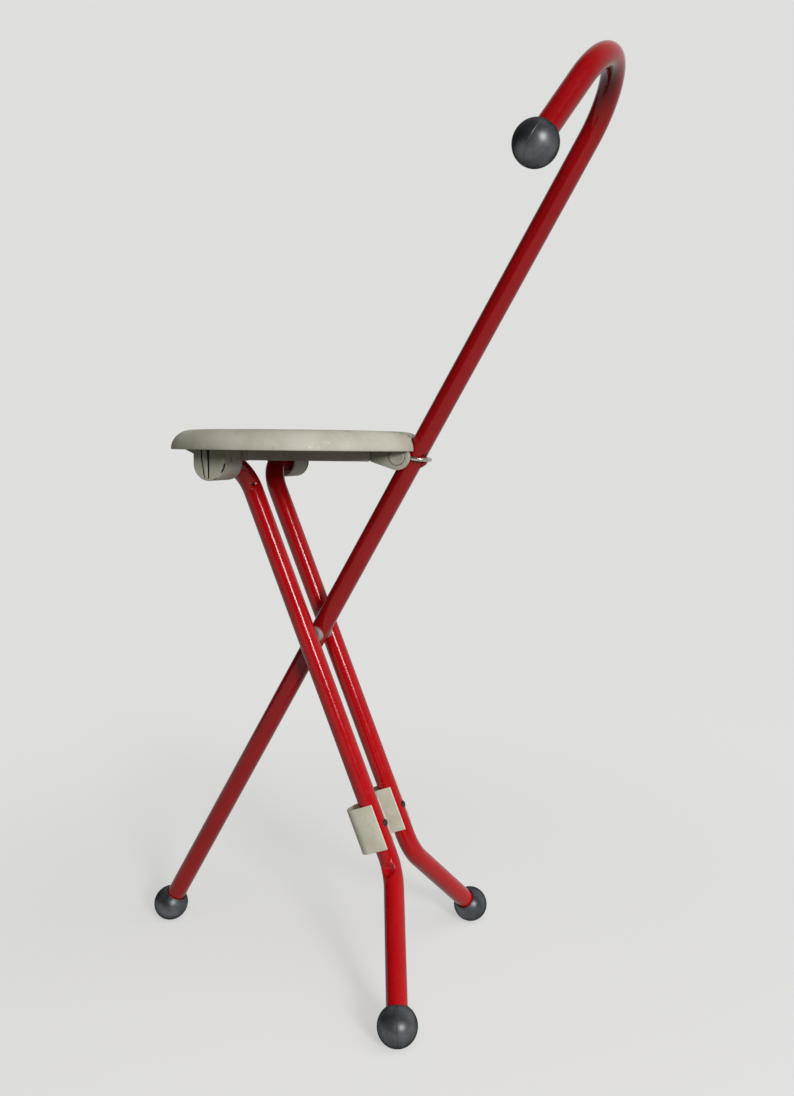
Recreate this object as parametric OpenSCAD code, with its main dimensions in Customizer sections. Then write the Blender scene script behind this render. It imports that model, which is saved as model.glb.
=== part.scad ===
// Folding cane stool.
// A bent steel cane crosses between two steel legs, and a round plastic seat
// is hinged on the legs and held to the cane by a wire bail.
// Millimetres. Z is up, the feet stand on z = 0, and the handle is towards +X.

/* [Tubing] */
// Outside diameter of the cane and leg tubes
tube_d = 20; // [18:0.5:22]
// Wall of the tubes
tube_wall = 1.5; // [1:0.1:2]

/* [Cane] */
// Lean of the cane from upright
cane_tilt = 29.45; // [27:0.05:32]
// Straight part of the cane, from the middle of its foot ball to the hook
cane_len = 898.3; // [850:0.1:950]
// Bend radius of the hook, on the middle of the tube
hook_r = 51; // [44:0.5:58]
// Angle that the hook turns through
hook_bend = 160; // [130:1:170]
// Straight end of the hook, up to the middle of the handle ball
hook_limb = 63.7; // [50:0.1:80]

/* [Balls] */
// Diameter of the four end balls
ball_d = 37; // [34:0.5:42]
// How far each tube runs past the middle of its ball
ball_socket = 5; // [2:0.5:8]

/* [Legs] */
// Foot ball of the cane to the pivot, along the cane
pivot_up = 371.3; // [360:0.1:385]
// Height of the seat hinge above the pivot
hinge_up = 172.52; // [165:0.01:180]
// Bend radius at the top of each leg
leg_bend_r = 31; // [28:0.5:34]
// Distance between the middles of the two leg foot balls
foot_spread = 239.6; // [215:0.2:260]
// Pivot to the corner where the leg turns outwards
foot_bend_down = 246; // [236:1:258]
// Bend radius near the foot of each leg
foot_bend_r = 45; // [38:1:52]

/* [Pivot] */
// Thickness of the spacer between the cane and each leg
spacer_t = 6; // [5:0.5:8]
// Diameter of the spacer
spacer_d = 17; // [15:0.5:22]
// How far the spacer's saddle reaches round the cane
saddle_depth = 4; // [2:0.5:6]
// Diameter of the pivot pin
pivot_pin_d = 8; // [6:0.5:9]
// Diameter of the bush in the wall of the cane
bush_d = 12; // [11:0.5:14]

/* [Leg clips] */
// Length of each clip along its leg
clip_len = 46; // [36:1:54]
// Pivot to the middle of the clip
clip_down = 197.5; // [190:0.5:203]
// Wall of the clip
clip_wall = 2; // [1.5:0.1:3]
// How far the rounded back of the clip stands behind the middle of the leg
clip_back = 12; // [9:0.5:15]
// How far the clip's lips reach past the middle of the leg
clip_lip = 8; // [4:0.5:9]
// Diameter of the screw that holds the clip
clip_screw_d = 4; // [3:0.5:5]
// Diameter of that screw's head
clip_head_d = 8; // [6.5:0.5:9]

/* [Seat] */
// Diameter of the seat
seat_d = 252.7; // [246:0.1:264]
// Height of the seat from the lower edge of its rim
seat_t = 19; // [18:0.1:22]
// Width of the rounded shoulder
shoulder_w = 20.8; // [16:0.1:28]
// Upright band at the foot of the rim
rim_band = 0.5; // [0.3:0.1:3]
// Wall of the rim
rim_wall = 3.4; // [2.8:0.1:4.2]
// Thickness of the seat plate
plate_t = 3.2; // [2.4:0.1:3.8]
// Diameter of the flat sunk middle of the seat
flat_d = 150; // [120:1:160]
// Depth of the sunk middle
flat_depth = 1.5; // [0.8:0.1:1.8]
// Width of the slope around the sunk middle
flat_slope = 16; // [8:1:20]
// Lower edge of the rim above the seat hinge
hinge_drop = 13.1; // [12.6:0.1:16]
// Seat edge behind the bail hinge
rear_reach = 15.1; // [13:0.1:17]
// Clearance of the rear notch round the cane
notch_gap = 1.5; // [1:0.1:2.5]

/* [Seat ribs] */
// Thickness of the ribs and of the notch lining
rib_t = 2.2; // [1.6:0.1:3]
// Lower edge of the ribs above the rim's lower edge
rib_up = 6; // [5.5:0.5:8]
// Number of radial ribs
rib_count = 12; // [8:1:16]
// Radius of the inner ring rib
ring_inner = 40; // [30:1:50]
// Radius of the outer ring rib
ring_outer = 84; // [75:1:95]
// Depth of the two long side rails below the rim
rail_drop = 10; // [8:0.5:11]
// Thickness of the side rails
rail_t = 3; // [2.4:0.1:4]

/* [Seat hinges] */
// Front edge of the seat to the seat hinge
hinge_inset = 76.45; // [72:0.01:80]
// Outside diameter of the hinge drums
drum_d = 32.4; // [31:0.2:34]
// Wall of the hinge drums
drum_wall = 1.6; // [1.4:0.1:2.2]
// Length of the bush inside the drum
drum_bush_len = 20; // [14:0.5:22]
// Thickness of the drum's end cap
cap_t = 2; // [1.5:0.1:3]
// How far the end cap plugs into the drum
cap_spigot = 2.6; // [2:0.1:4]
// Width of the upright rib on the end cap
cap_rib_w = 5; // [3:0.2:7]
// How far that rib stands proud
cap_rib_t = 1; // [0.6:0.1:1.6]
// Thickness of the mounting plates under the seat
base_t = 3; // [2.5:0.1:3.4]
// Mounting plate reach in front of and behind the drum
base_reach = 12; // [11:0.5:14]
// Space between the corners of the mounting plates and the rim
plate_edge = 3.8; // [2:0.1:5]
// Length of the gusset in front of the drum
gusset_len = 29; // [22:1:32]

/* [Fork and bail] */
// Distance of the bail hinge below the rim
bail_drop = 5.2; // [4.8:0.1:6]
// Distance of the bail hinge from the middle of the cane
bail_side = 10.3; // [9.5:0.1:11]
// Diameter of the bail wire
wire_d = 4; // [3:0.1:4.5]
// Bail hinge to the middle of the wire at the tip
bail_reach = 26.6; // [25.6:0.1:29]
// Angle of the open bail above square to the cane
bail_rise = 23.8; // [18:0.1:28]
// Clearance between the bail and the sides of the cane
bail_gap = 0.5; // [0.4:0.1:1]
// Bend radius at the bail's hinge ends
bail_corner_r = 2.4; // [2.3:0.1:3]
// How far the bail's pins stop short of the outer faces of the fork
pin_short = 0.8; // [0.4:0.1:1.2]
// Thickness of the fork cheeks
cheek_t = 4; // [3.5:0.1:5]
// Radius of the round end of the cheeks
cheek_r = 12.6; // [11:0.1:13]
// Length of the cheeks in front of the bail hinge
fork_len = 26.7; // [24:0.1:30]
// Front edge of the fork to the screw in its tongue
tongue_len = 8; // [6:0.5:10]
// Diameter of the round plug on each cheek
plug_d = 15.4; // [13:0.2:17]
// How far the plug stands proud
plug_proud = 0.8; // [0.4:0.1:1.2]
// Width of the groove round the plug
plug_groove = 0.5; // [0.3:0.1:0.8]

/* [Bail stop] */
// Width of the stop lug
stop_w = 6; // [4:0.5:8]
// Length of the stop lug along the cane
stop_len = 9; // [7:0.5:12]
// How far the stop lug stands out from the cane
stop_proud = 3.4; // [2.6:0.1:4]
// Diameter of the lug's stem in the wall of the cane
stop_stem_d = 4; // [3:0.5:5]

/* [Screws] */
// Diameter of the screws under the seat
screw_d = 3.5; // [3:0.1:4]
// Diameter of their heads
screw_head_d = 7; // [6:0.2:8]
// Height of their heads
screw_head_t = 2.2; // [1.6:0.1:2.6]
// Length of the screws under the head
screw_len = 10; // [8:0.5:11]
// Plastic left round each screw
screw_edge = 2.5; // [2:0.1:3]

/* [Clearances] */
// Clearance all round a pressed or screwed fit
fit = 0.05; // [0.02:0.01:0.08]
// Clearance all round a turning fit
run = 0.08; // [0.05:0.01:0.1]
// Space between neighbours that only come close
gap = 0.3; // [0.25:0.05:0.4]

/* [Hidden] */
$fn = 96;
over = 1;

// A straight length after a bend laps into it, and is this much slimmer all round
lap = 0.1;
hair = 0.05;

tube_r = tube_d / 2;
end_r = tube_r - hair;
bore_r = tube_r - tube_wall;
ball_r = ball_d / 2;
wire_r = wire_d / 2;
seat_r = seat_d / 2;
drum_r = drum_d / 2;

// Pivot of the legs on the cane, and the lean of everything that hangs on it
pivot_x = pivot_up * sin(cane_tilt);
pivot_z = ball_r + pivot_up * cos(cane_tilt);

// Bail hinge beside the cane
hinge_z = pivot_z + hinge_up;
rim_z = hinge_z + hinge_drop;
bail_z = rim_z - bail_drop;
bail_x = (bail_z - ball_r) * tan(cane_tilt) - bail_side / cos(cane_tilt);
bail_along = bail_x * sin(cane_tilt) + (bail_z - ball_r) * cos(cane_tilt);
arm_y = tube_r + bail_gap + wire_r;
cheek_in = arm_y + wire_r + bail_gap;
cheek_out = cheek_in + cheek_t;
plug_depth = cheek_t / 2;
pin_end = cheek_out - pin_short;
stop_top = bail_along + bail_reach * sin(bail_rise) - wire_r - gap;

// Seat, measured from its middle at the lower edge of the rim
seat_x = bail_x + rear_reach - seat_r;
fork_x = bail_x - seat_x;
drum_x = hinge_inset - seat_r;
leg_y = 2 * tube_r + spacer_t;
drum_in = leg_y + leg_bend_r;
plate_x = drum_r + base_reach;
plate_corner = seat_r - rim_wall - plate_edge;
drum_out = sqrt(pow(plate_corner, 2) - pow(drum_x - plate_x, 2));
drum_len = drum_out - drum_in;
spigot_end = drum_out - cap_spigot;
bush_end = spigot_end - gap;
hinge_tail = bush_end - drum_in;
plate_low = seat_t - flat_depth - plate_t;
base_up = 1.5;
base_top = base_up + base_t;
boss_d = screw_d + 2 * screw_edge;
ear_w = screw_head_d + screw_edge;
fork_front = fork_x - fork_len;
fork_back = fork_x - tube_r;
ear_y = cheek_out + ear_w / 2;
ear_x = fork_back - ear_w / 2;
tongue_x = fork_front - tongue_len;
notch_r = tube_r + notch_gap;
rail_x = drum_x + drum_r + gap;
rail_y = drum_in - gap - rail_t / 2;
rail_end_y = cheek_out + gap + rail_t / 2;
rail_angle = atan((rail_y - rail_end_y) / (fork_front - rail_x));
rail_len = (fork_front - gap - rail_x) / cos(rail_angle) - rail_t / 2 * tan(rail_angle);
housing_screw_x = drum_r + base_reach / 2;
housing_screw_y = (drum_in + drum_out) / 2;

// Legs, from the seat hinge down to the floor
leg_rise = pivot_x - seat_x - drum_x;
leg_tilt = atan(leg_rise / hinge_up);
leg_top = hinge_up / cos(leg_tilt);
leg_down = (pivot_z - ball_r) / cos(leg_tilt);
splay = atan((foot_spread / 2 - leg_y) / (leg_down - foot_bend_down));
foot_cut = foot_bend_r * tan(splay / 2);
foot_limb = (leg_down - foot_bend_down) / cos(splay) - foot_cut;

// Depth of the flat that the clip screw's head sits on
clip_seat = 0.7;

// Middle of the outline on the floor
hook_drop = hook_r * (1 - cos(hook_bend)) + hook_limb * sin(hook_bend);
x_max = cane_len * sin(cane_tilt) + hook_r * sin(cane_tilt) + tube_r;
middle_x = (x_max - ball_r) / 2;
foot_reach = foot_spread / 2 + ball_r;
handle_reach = hook_drop + ball_r;
middle_y = (foot_reach - max(foot_reach, handle_reach)) / 2;

red = [0.69, 0.08, 0.10];
dark_grey = [0.27, 0.29, 0.30];
greige = [0.74, 0.72, 0.65];
cream = [0.80, 0.78, 0.70];
steel = [0.76, 0.76, 0.75];
dark_steel = [0.22, 0.20, 0.19];

// Places
module on_floor() {
    translate([-middle_x, -middle_y, 0]) children();
}

module along_cane() {
    on_floor() translate([0, 0, ball_r]) rotate([0, cane_tilt, 0]) children();
}

module along_legs() {
    on_floor() translate([pivot_x, 0, pivot_z]) rotate([0, -leg_tilt, 0]) children();
}

module under_seat() {
    on_floor() translate([seat_x, 0, rim_z]) children();
}

module at_bail() {
    on_floor() translate([bail_x, 0, bail_z]) rotate([0, cane_tilt - bail_rise, 0]) children();
}

module far_side() {
    mirror([0, 1, 0]) children();
}

module both_sides() {
    children();
    mirror([0, 1, 0]) children();
}

// Tube stock: a straight length, and a bend that starts upwards and turns
// towards -Y. The straight after a bend is a hair slimmer and laps into it.
module straight_tube(length) {
    linear_extrude(length)
        difference() {
            circle(r = tube_r);
            circle(r = bore_r);
        }
}

module bent_tube(bend_r, angle) {
    translate([0, -bend_r, 0])
        rotate([90, 0, 90])
            rotate_extrude(angle = angle)
                translate([bend_r, 0])
                    difference() {
                        circle(r = tube_r);
                        circle(r = bore_r);
                    }
}

module end_tube(length) {
    translate([0, 0, -lap])
        linear_extrude(length + lap)
            difference() {
                circle(r = end_r);
                circle(r = bore_r + hair);
            }
}

module after_bend(bend_r, angle) {
    translate([0, bend_r * (cos(angle) - 1), bend_r * sin(angle)])
        rotate([angle, 0, 0])
            children();
}

// A rod along +Y from y = from to y = to
module rod_y(r, from, to) {
    translate([0, from, 0])
        rotate([-90, 0, 0])
            cylinder(r = r, h = to - from);
}

// End ball, with its tube coming in from below
module end_ball(r) {
    mouth = 1.2;
    mouth_z = -sqrt(ball_r * ball_r - pow(r + mouth, 2));
    color(dark_grey)
        difference() {
            sphere(r = ball_r);
            translate([0, 0, -ball_r - over])
                cylinder(r = r + fit, h = ball_r + over + ball_socket + gap);
            translate([0, 0, mouth_z - over])
                cylinder(r1 = r + mouth + over, r2 = r, h = mouth + 2 * over);
        }
}

// Cane: straight tube, hook and the handle's straight end
module cane_stock() {
    translate([0, 0, -ball_socket])
        straight_tube(cane_len + ball_socket);
    translate([0, 0, cane_len]) {
        bent_tube(hook_r, hook_bend);
        after_bend(hook_r, hook_bend)
            end_tube(hook_limb + ball_socket);
    }
}

module cane_tube() {
    color(red)
        along_cane()
            difference() {
                cane_stock();
                translate([0, 0, pivot_up])
                    rod_y(bush_d / 2, -tube_r - over, tube_r + over);
                translate([0, 0, stop_top - stop_len / 2])
                    rotate([0, 90, 0])
                        cylinder(d = stop_stem_d + 2 * fit, h = tube_r + over);
            }
}

module handle_ball() {
    along_cane()
        translate([0, 0, cane_len])
            after_bend(hook_r, hook_bend)
                translate([0, 0, hook_limb])
                    end_ball(end_r);
}

module cane_foot_ball() {
    along_cane()
        rotate([180, 0, 0])
            end_ball(tube_r);
}

// Lug that the bail rests on
module bail_stop() {
    toe = 0.8;
    out = tube_r + stop_proud;
    color(red)
        along_cane()
            translate([0, 0, stop_top]) {
                difference() {
                    rotate([90, 0, 0])
                        linear_extrude(stop_w, center = true)
                            polygon([
                                [0, 0], [out - toe, 0], [out, -toe], [out, -stop_len / 3],
                                [tube_r + toe, -stop_len], [0, -stop_len]
                            ]);
                    translate([0, 0, -stop_len - over])
                        cylinder(r = tube_r + fit, h = stop_len + 2 * over);
                }
                translate([bore_r - over, 0, -stop_len / 2])
                    rotate([0, 90, 0])
                        cylinder(d = stop_stem_d, h = tube_wall + 2 * over);
            }
}

// Bush in the cane, whose flange is the spacer beside the leg
module pivot_bush() {
    flange_in = tube_r - saddle_depth;
    flange_out = leg_y - tube_r - gap;
    color(dark_grey)
        translate([0, 0, pivot_up])
            difference() {
                union() {
                    difference() {
                        rod_y(spacer_d / 2, -flange_out, -flange_in);
                        translate([0, 0, -spacer_d])
                            cylinder(r = tube_r + fit, h = 2 * spacer_d);
                    }
                    rod_y(bush_d / 2 - fit, -flange_out + over, -gap);
                }
                rod_y(pivot_pin_d / 2 + run, -flange_out - over, over);
            }
}

module pivot_bush_near() {
    along_cane() pivot_bush();
}

module pivot_bush_far() {
    along_cane() far_side() pivot_bush();
}

module pivot_pin() {
    pin_half = leg_y - bore_r + over;
    color(steel)
        along_legs()
            rod_y(pivot_pin_d / 2, -pin_half, pin_half);
}

// Leg: its top turns outwards into the seat hinge, its foot turns outwards too
module leg_stock() {
    upper = leg_top - leg_bend_r;
    lower = foot_bend_down - foot_cut;
    translate([0, -leg_y, -lower]) {
        straight_tube(lower + upper);
        translate([0, 0, lower + upper]) {
            bent_tube(leg_bend_r, 90);
            after_bend(leg_bend_r, 90)
                end_tube(hinge_tail);
        }
        rotate([0, 180, 0]) {
            bent_tube(foot_bend_r, splay);
            after_bend(foot_bend_r, splay)
                end_tube(foot_limb + ball_socket);
        }
    }
}

module at_clip() {
    translate([0, -leg_y, -clip_down]) children();
}

module leg() {
    color(red)
        difference() {
            leg_stock();
            rod_y(pivot_pin_d / 2 + fit, -leg_y, -leg_y + tube_r + over);
            at_clip()
                rotate([0, 90, 0]) {
                    translate([0, 0, -tube_r - over])
                        cylinder(d = clip_screw_d + 2 * fit, h = 2 * tube_r + 2 * over);
                    translate([0, 0, tube_r - clip_seat])
                        cylinder(d = clip_head_d + 2 * fit, h = tube_r);
                }
        }
}

module leg_near() {
    along_legs() leg();
}

module leg_far() {
    along_legs() far_side() leg();
}

module foot_ball() {
    translate([0, -leg_y, foot_cut - foot_bend_down])
        rotate([0, 180, 0])
            after_bend(foot_bend_r, splay)
                translate([0, 0, foot_limb])
                    end_ball(end_r);
}

module foot_ball_near() {
    along_legs() foot_ball();
}

module foot_ball_far() {
    along_legs() far_side() foot_ball();
}

// Channel clip round the leg, open at its lips
module clip_outline(r, lip) {
    translate([-clip_back, 0])
        circle(r = r);
    translate([-clip_back, -r])
        square([clip_back + lip, 2 * r]);
}

module clip() {
    inside = tube_r + fit;
    boss_r = clip_screw_d / 2 + clip_wall;
    color(cream)
        at_clip()
            difference() {
                union() {
                    difference() {
                        linear_extrude(clip_len, center = true)
                            clip_outline(inside + clip_wall, clip_lip);
                        linear_extrude(clip_len + 2 * over, center = true)
                            clip_outline(inside, clip_lip + over);
                    }
                    translate([-clip_back - inside - clip_wall / 2, 0, 0])
                        rotate([0, 90, 0])
                            cylinder(r = boss_r, h = clip_back + clip_wall / 2);
                }
                cylinder(r = inside, h = clip_len, center = true);
                translate([-clip_back - inside + over, 0, 0])
                    rotate([0, 90, 0])
                        cylinder(d = clip_screw_d + 2 * fit, h = clip_back + inside);
            }
}

module clip_near() {
    along_legs() clip();
}

module clip_far() {
    along_legs() far_side() clip();
}

module clip_screw() {
    head_t = 2.2;
    seat = tube_r - clip_seat;
    tip = clip_back + tube_r - 2 * over;
    color(dark_steel)
        at_clip()
            rotate([0, 90, 0]) {
                translate([0, 0, -tip])
                    cylinder(d = clip_screw_d, h = tip + seat);
                translate([0, 0, seat])
                    cylinder(d = clip_head_d, h = head_t / 2);
                translate([0, 0, seat + head_t / 2])
                    cylinder(d1 = clip_head_d, d2 = clip_head_d / 2, h = head_t / 2);
            }
}

module clip_screw_near() {
    along_legs() clip_screw();
}

module clip_screw_far() {
    along_legs() far_side() clip_screw();
}

// Seat shell: the outline of the rim is a quarter ellipse on an upright band
steps = 14;

function shoulder(r_out, width, low, high) = [
    for (i = [0 : steps])
        let (a = 90 * i / steps)
            [r_out - width * (1 - cos(a)), low + (high - low) * sin(a)]
];

module shell_section() {
    edge = rim_band / 2;
    polygon(concat(
        [[seat_r - edge, 0]],
        [[seat_r, edge]],
        shoulder(seat_r, shoulder_w, rim_band, seat_t),
        [[flat_d / 2 + flat_slope, seat_t]],
        [[flat_d / 2, seat_t - flat_depth]],
        [[0, seat_t - flat_depth]],
        [[0, plate_low]],
        [for (i = [0 : steps]) cavity_edge()[steps - i]],
        [[seat_r - rim_wall, 0]]
    ));
}

function cavity_edge() =
    shoulder(seat_r - rim_wall, shoulder_w - rim_wall, rim_band, plate_low);

module cavity() {
    rotate_extrude()
        polygon(concat(
            [[0, 0]],
            [[seat_r - rim_wall + over / 2, 0]],
            [for (p = cavity_edge()) [p[0] + over / 2, p[1] + over / 2]],
            [[0, plate_low + over / 2]]
        ));
}

// Space of the cane where it crosses the seat, open to the rear
module cane_way(r) {
    reach = 2 * tube_d;
    translate([-seat_x, 0, ball_r - rim_z])
        rotate([0, cane_tilt, 0])
            translate([0, 0, bail_along - reach]) {
                cylinder(r = r, h = 2 * reach);
                translate([0, -r, 0])
                    cube([reach, 2 * r, 2 * reach]);
            }
}

module ring_rib(r) {
    difference() {
        cylinder(r = r + rib_t / 2, h = seat_t);
        translate([0, 0, -over])
            cylinder(r = r - rib_t / 2, h = seat_t + 2 * over);
    }
}

module light_ribs() {
    translate([0, 0, rib_up]) {
        ring_rib(ring_inner);
        ring_rib(ring_outer);
        for (i = [0 : rib_count - 1])
            rotate([0, 0, 360 * (i + 0.5) / rib_count])
                translate([ring_inner, -rib_t / 2, 0])
                    cube([seat_r - ring_inner, rib_t, seat_t]);
    }
}

// Side rails, from the hinge drums to the fork
module side_rail() {
    translate([rail_x, -rail_y, -rail_drop])
        rotate([0, 0, rail_angle])
            translate([0, -rail_t / 2, 0])
                cube([rail_len, rail_t, rail_drop + plate_low + over / 2]);
}

module housing_screw_places() {
    for (side = [-1, 1])
        translate([drum_x + side * housing_screw_x, -housing_screw_y, 0])
            children();
}

module fork_screw_places() {
    both_sides()
        translate([ear_x, -ear_y, 0])
            children();
    translate([tongue_x, 0, 0])
        children();
}

module screw_boss() {
    translate([0, 0, base_top])
        cylinder(d = boss_d, h = plate_low - base_top + over / 2);
}

module screw_pilot() {
    translate([0, 0, base_top - over])
        cylinder(d = screw_d + 2 * fit, h = plate_low - base_top + over);
}

module seat_shell() {
    color(greige)
        under_seat()
            difference() {
                union() {
                    rotate_extrude()
                        shell_section();
                    intersection() {
                        cavity();
                        union() {
                            light_ribs();
                            cane_way(notch_r + rib_t);
                        }
                    }
                    both_sides() {
                        side_rail();
                        housing_screw_places()
                            screw_boss();
                    }
                    fork_screw_places()
                        screw_boss();
                }
                cane_way(notch_r);
                both_sides()
                    housing_screw_places()
                        screw_pilot();
                fork_screw_places()
                    screw_pilot();
            }
}

module screw_hole() {
    translate([0, 0, -over])
        cylinder(d = screw_d + 2 * fit, h = base_top + 2 * over);
}

// Hinge housing: mounting plate, drum and front gusset
module hinge_housing() {
    toe = 0.5;
    color(greige)
        difference() {
            union() {
                translate([drum_x - plate_x, -drum_out, base_up])
                    cube([2 * plate_x, drum_len, base_t]);
                translate([drum_x, 0, -hinge_drop]) {
                    rod_y(drum_r, -drum_out, -drum_in);
                    translate([-drum_r, -drum_out, 0])
                        cube([drum_d, drum_len, hinge_drop + base_top]);
                }
                translate([drum_x - drum_r, -drum_in, 0])
                    rotate([90, 0, 0])
                        linear_extrude(rail_t)
                            polygon([
                                [over, -hinge_drop], [-gusset_len, -toe],
                                [-gusset_len, base_top], [over, base_top]
                            ]);
            }
            translate([drum_x, 0, -hinge_drop])
                rod_y(drum_r - drum_wall, -drum_out - over, -drum_in + over);
            housing_screw_places()
                screw_hole();
        }
}

module hinge_housing_near() {
    under_seat() hinge_housing();
}

module hinge_housing_far() {
    under_seat() far_side() hinge_housing();
}

// Bush between the drum and the turned-out end of the leg
module hinge_bush() {
    color(cream)
        translate([drum_x, 0, -hinge_drop])
            difference() {
                rod_y(drum_r - drum_wall - fit, -bush_end, -bush_end + drum_bush_len);
                rod_y(end_r + run, -bush_end - over, -bush_end + drum_bush_len + over);
            }
}

module hinge_bush_near() {
    under_seat() hinge_bush();
}

module hinge_bush_far() {
    under_seat() far_side() hinge_bush();
}

// End cap of the drum, with an upright rib and a pry notch at its rear edge
module hinge_cap() {
    cap_y = drum_out + fit;
    notch_deep = 2.4;
    notch_w = 2;
    notch_from = -38;
    notch_step = 6;
    notch_to = 4;
    rib_side = 1.4;
    rib_low = 2.6 - drum_r;
    color(greige)
        translate([drum_x, 0, -hinge_drop]) {
            difference() {
                union() {
                    rod_y(drum_r, -cap_y - cap_t, -cap_y);
                    translate([-drum_r, -cap_y - cap_t, 0])
                        cube([drum_d, cap_t, hinge_drop + base_up]);
                }
                translate([0, -cap_y + over, 0])
                    rotate([90, 0, 0])
                        for (a = [notch_from : notch_step : notch_to])
                            rotate([0, 0, a])
                                translate([drum_r - notch_deep, -notch_w / 2, 0])
                                    cube([2 * notch_deep, notch_w, over + cap_t / 2]);
            }
            rod_y(drum_r - drum_wall - fit, -cap_y, -spigot_end);
            translate([-cap_rib_w - rib_side, -cap_y - cap_t - cap_rib_t, rib_low])
                cube([cap_rib_w, cap_rib_t, hinge_drop - gap - rib_low]);
        }
}

module hinge_cap_near() {
    under_seat() hinge_cap();
}

module hinge_cap_far() {
    under_seat() far_side() hinge_cap();
}

// Screws under the seat, heads down
module seat_screw() {
    bevel = 0.8;
    translate([0, 0, base_up - fit - screw_head_t])
        cylinder(d1 = screw_head_d - 2 * bevel, d2 = screw_head_d, h = screw_head_t);
    translate([0, 0, base_up - fit])
        cylinder(d = screw_d, h = screw_len);
}

module housing_screws() {
    color(steel)
        under_seat()
            both_sides()
                housing_screw_places()
                    seat_screw();
}

module fork_screws() {
    color(steel)
        under_seat()
            fork_screw_places()
                seat_screw();
}

// Fork: two cheeks beside the cane on one mounting plate
module cheek() {
    top = base_up + base_t / 2;
    back = fork_back - fork_x;
    toe = 17;
    translate([fork_x, -cheek_in, 0])
        rotate([90, 0, 0])
            linear_extrude(cheek_t) {
                translate([0, -bail_drop])
                    circle(r = cheek_r);
                polygon([
                    [-fork_len, top], [-fork_len, -rail_drop],
                    [-cheek_r * sin(toe), -bail_drop - cheek_r * cos(toe)],
                    [0, -bail_drop], [back, top]
                ]);
            }
}

module rear_fork() {
    color(greige)
        under_seat()
            difference() {
                union() {
                    both_sides()
                        difference() {
                            cheek();
                            translate([fork_back, -cheek_out - over, -fit])
                                cube([4 * cheek_r, cheek_t + 2 * over, seat_t]);
                        }
                    translate([fork_front, -ear_y - ear_w / 2, base_up])
                        cube([fork_back - fork_front, 2 * ear_y + ear_w, base_t]);
                    translate([tongue_x - ear_w / 2, -ear_w / 2, base_up])
                        cube([fork_front - tongue_x + ear_w / 2 + over, ear_w, base_t]);
                }
                translate([fork_x, 0, -bail_drop])
                    both_sides() {
                        rod_y(wire_r + run, -cheek_out - over, -cheek_in + over);
                        rod_y(plug_d / 2 + plug_groove, -cheek_out - over, -cheek_out + plug_depth);
                    }
                fork_screw_places()
                    screw_hole();
            }
}

// Round plug that covers the end of the bail's pin
module fork_plug() {
    color(greige)
        translate([fork_x, 0, -bail_drop])
            difference() {
                rod_y(plug_d / 2, -cheek_out - plug_proud, -cheek_out + plug_depth - fit);
                rod_y(wire_r + run, -pin_end - gap, -cheek_in);
            }
}

module fork_plug_near() {
    under_seat() fork_plug();
}

module fork_plug_far() {
    under_seat() far_side() fork_plug();
}

// Bail: a loop of wire round the cane, with its ends turned out as pins
module bail_wire() {
    color(steel)
        at_bail() {
            both_sides() {
                rod_y(wire_r, -pin_end, -arm_y - bail_corner_r);
                translate([bail_corner_r, -arm_y - bail_corner_r, 0])
                    rotate([0, 0, 90])
                        rotate_extrude(angle = 90)
                            translate([bail_corner_r, 0])
                                circle(r = wire_r, $fn = 32);
                translate([bail_corner_r, -arm_y, 0])
                    rotate([0, 90, 0])
                        cylinder(r = wire_r, h = bail_reach - arm_y - bail_corner_r, $fn = 32);
            }
            translate([bail_reach - arm_y, 0, 0])
                rotate([0, 0, -90])
                    rotate_extrude(angle = 180)
                        translate([arm_y, 0])
                            circle(r = wire_r, $fn = 32);
        }
}

cane_tube();
handle_ball();
cane_foot_ball();
bail_stop();
pivot_bush_near();
pivot_bush_far();
pivot_pin();
leg_near();
leg_far();
foot_ball_near();
foot_ball_far();
clip_near();
clip_far();
clip_screw_near();
clip_screw_far();
seat_shell();
hinge_housing_near();
hinge_housing_far();
hinge_bush_near();
hinge_bush_far();
hinge_cap_near();
hinge_cap_far();
housing_screws();
rear_fork();
fork_plug_near();
fork_plug_far();
fork_screws();
bail_wire();
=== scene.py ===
from math import cos, pi, radians, sin, sqrt

import bmesh
import bpy
from mathutils import Matrix, Vector


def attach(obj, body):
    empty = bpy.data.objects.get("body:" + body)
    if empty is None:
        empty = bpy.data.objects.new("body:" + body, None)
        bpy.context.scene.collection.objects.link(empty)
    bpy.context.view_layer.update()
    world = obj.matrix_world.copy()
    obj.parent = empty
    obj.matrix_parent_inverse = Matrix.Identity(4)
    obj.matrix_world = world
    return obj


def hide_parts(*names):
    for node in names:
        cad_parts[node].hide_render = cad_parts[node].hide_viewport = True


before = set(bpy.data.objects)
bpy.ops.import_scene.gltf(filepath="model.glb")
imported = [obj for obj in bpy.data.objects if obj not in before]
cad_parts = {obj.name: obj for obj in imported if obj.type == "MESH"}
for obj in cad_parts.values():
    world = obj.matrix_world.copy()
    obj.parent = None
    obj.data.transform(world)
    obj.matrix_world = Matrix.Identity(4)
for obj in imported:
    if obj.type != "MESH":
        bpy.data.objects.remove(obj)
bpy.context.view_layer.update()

scene = bpy.context.scene


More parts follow.
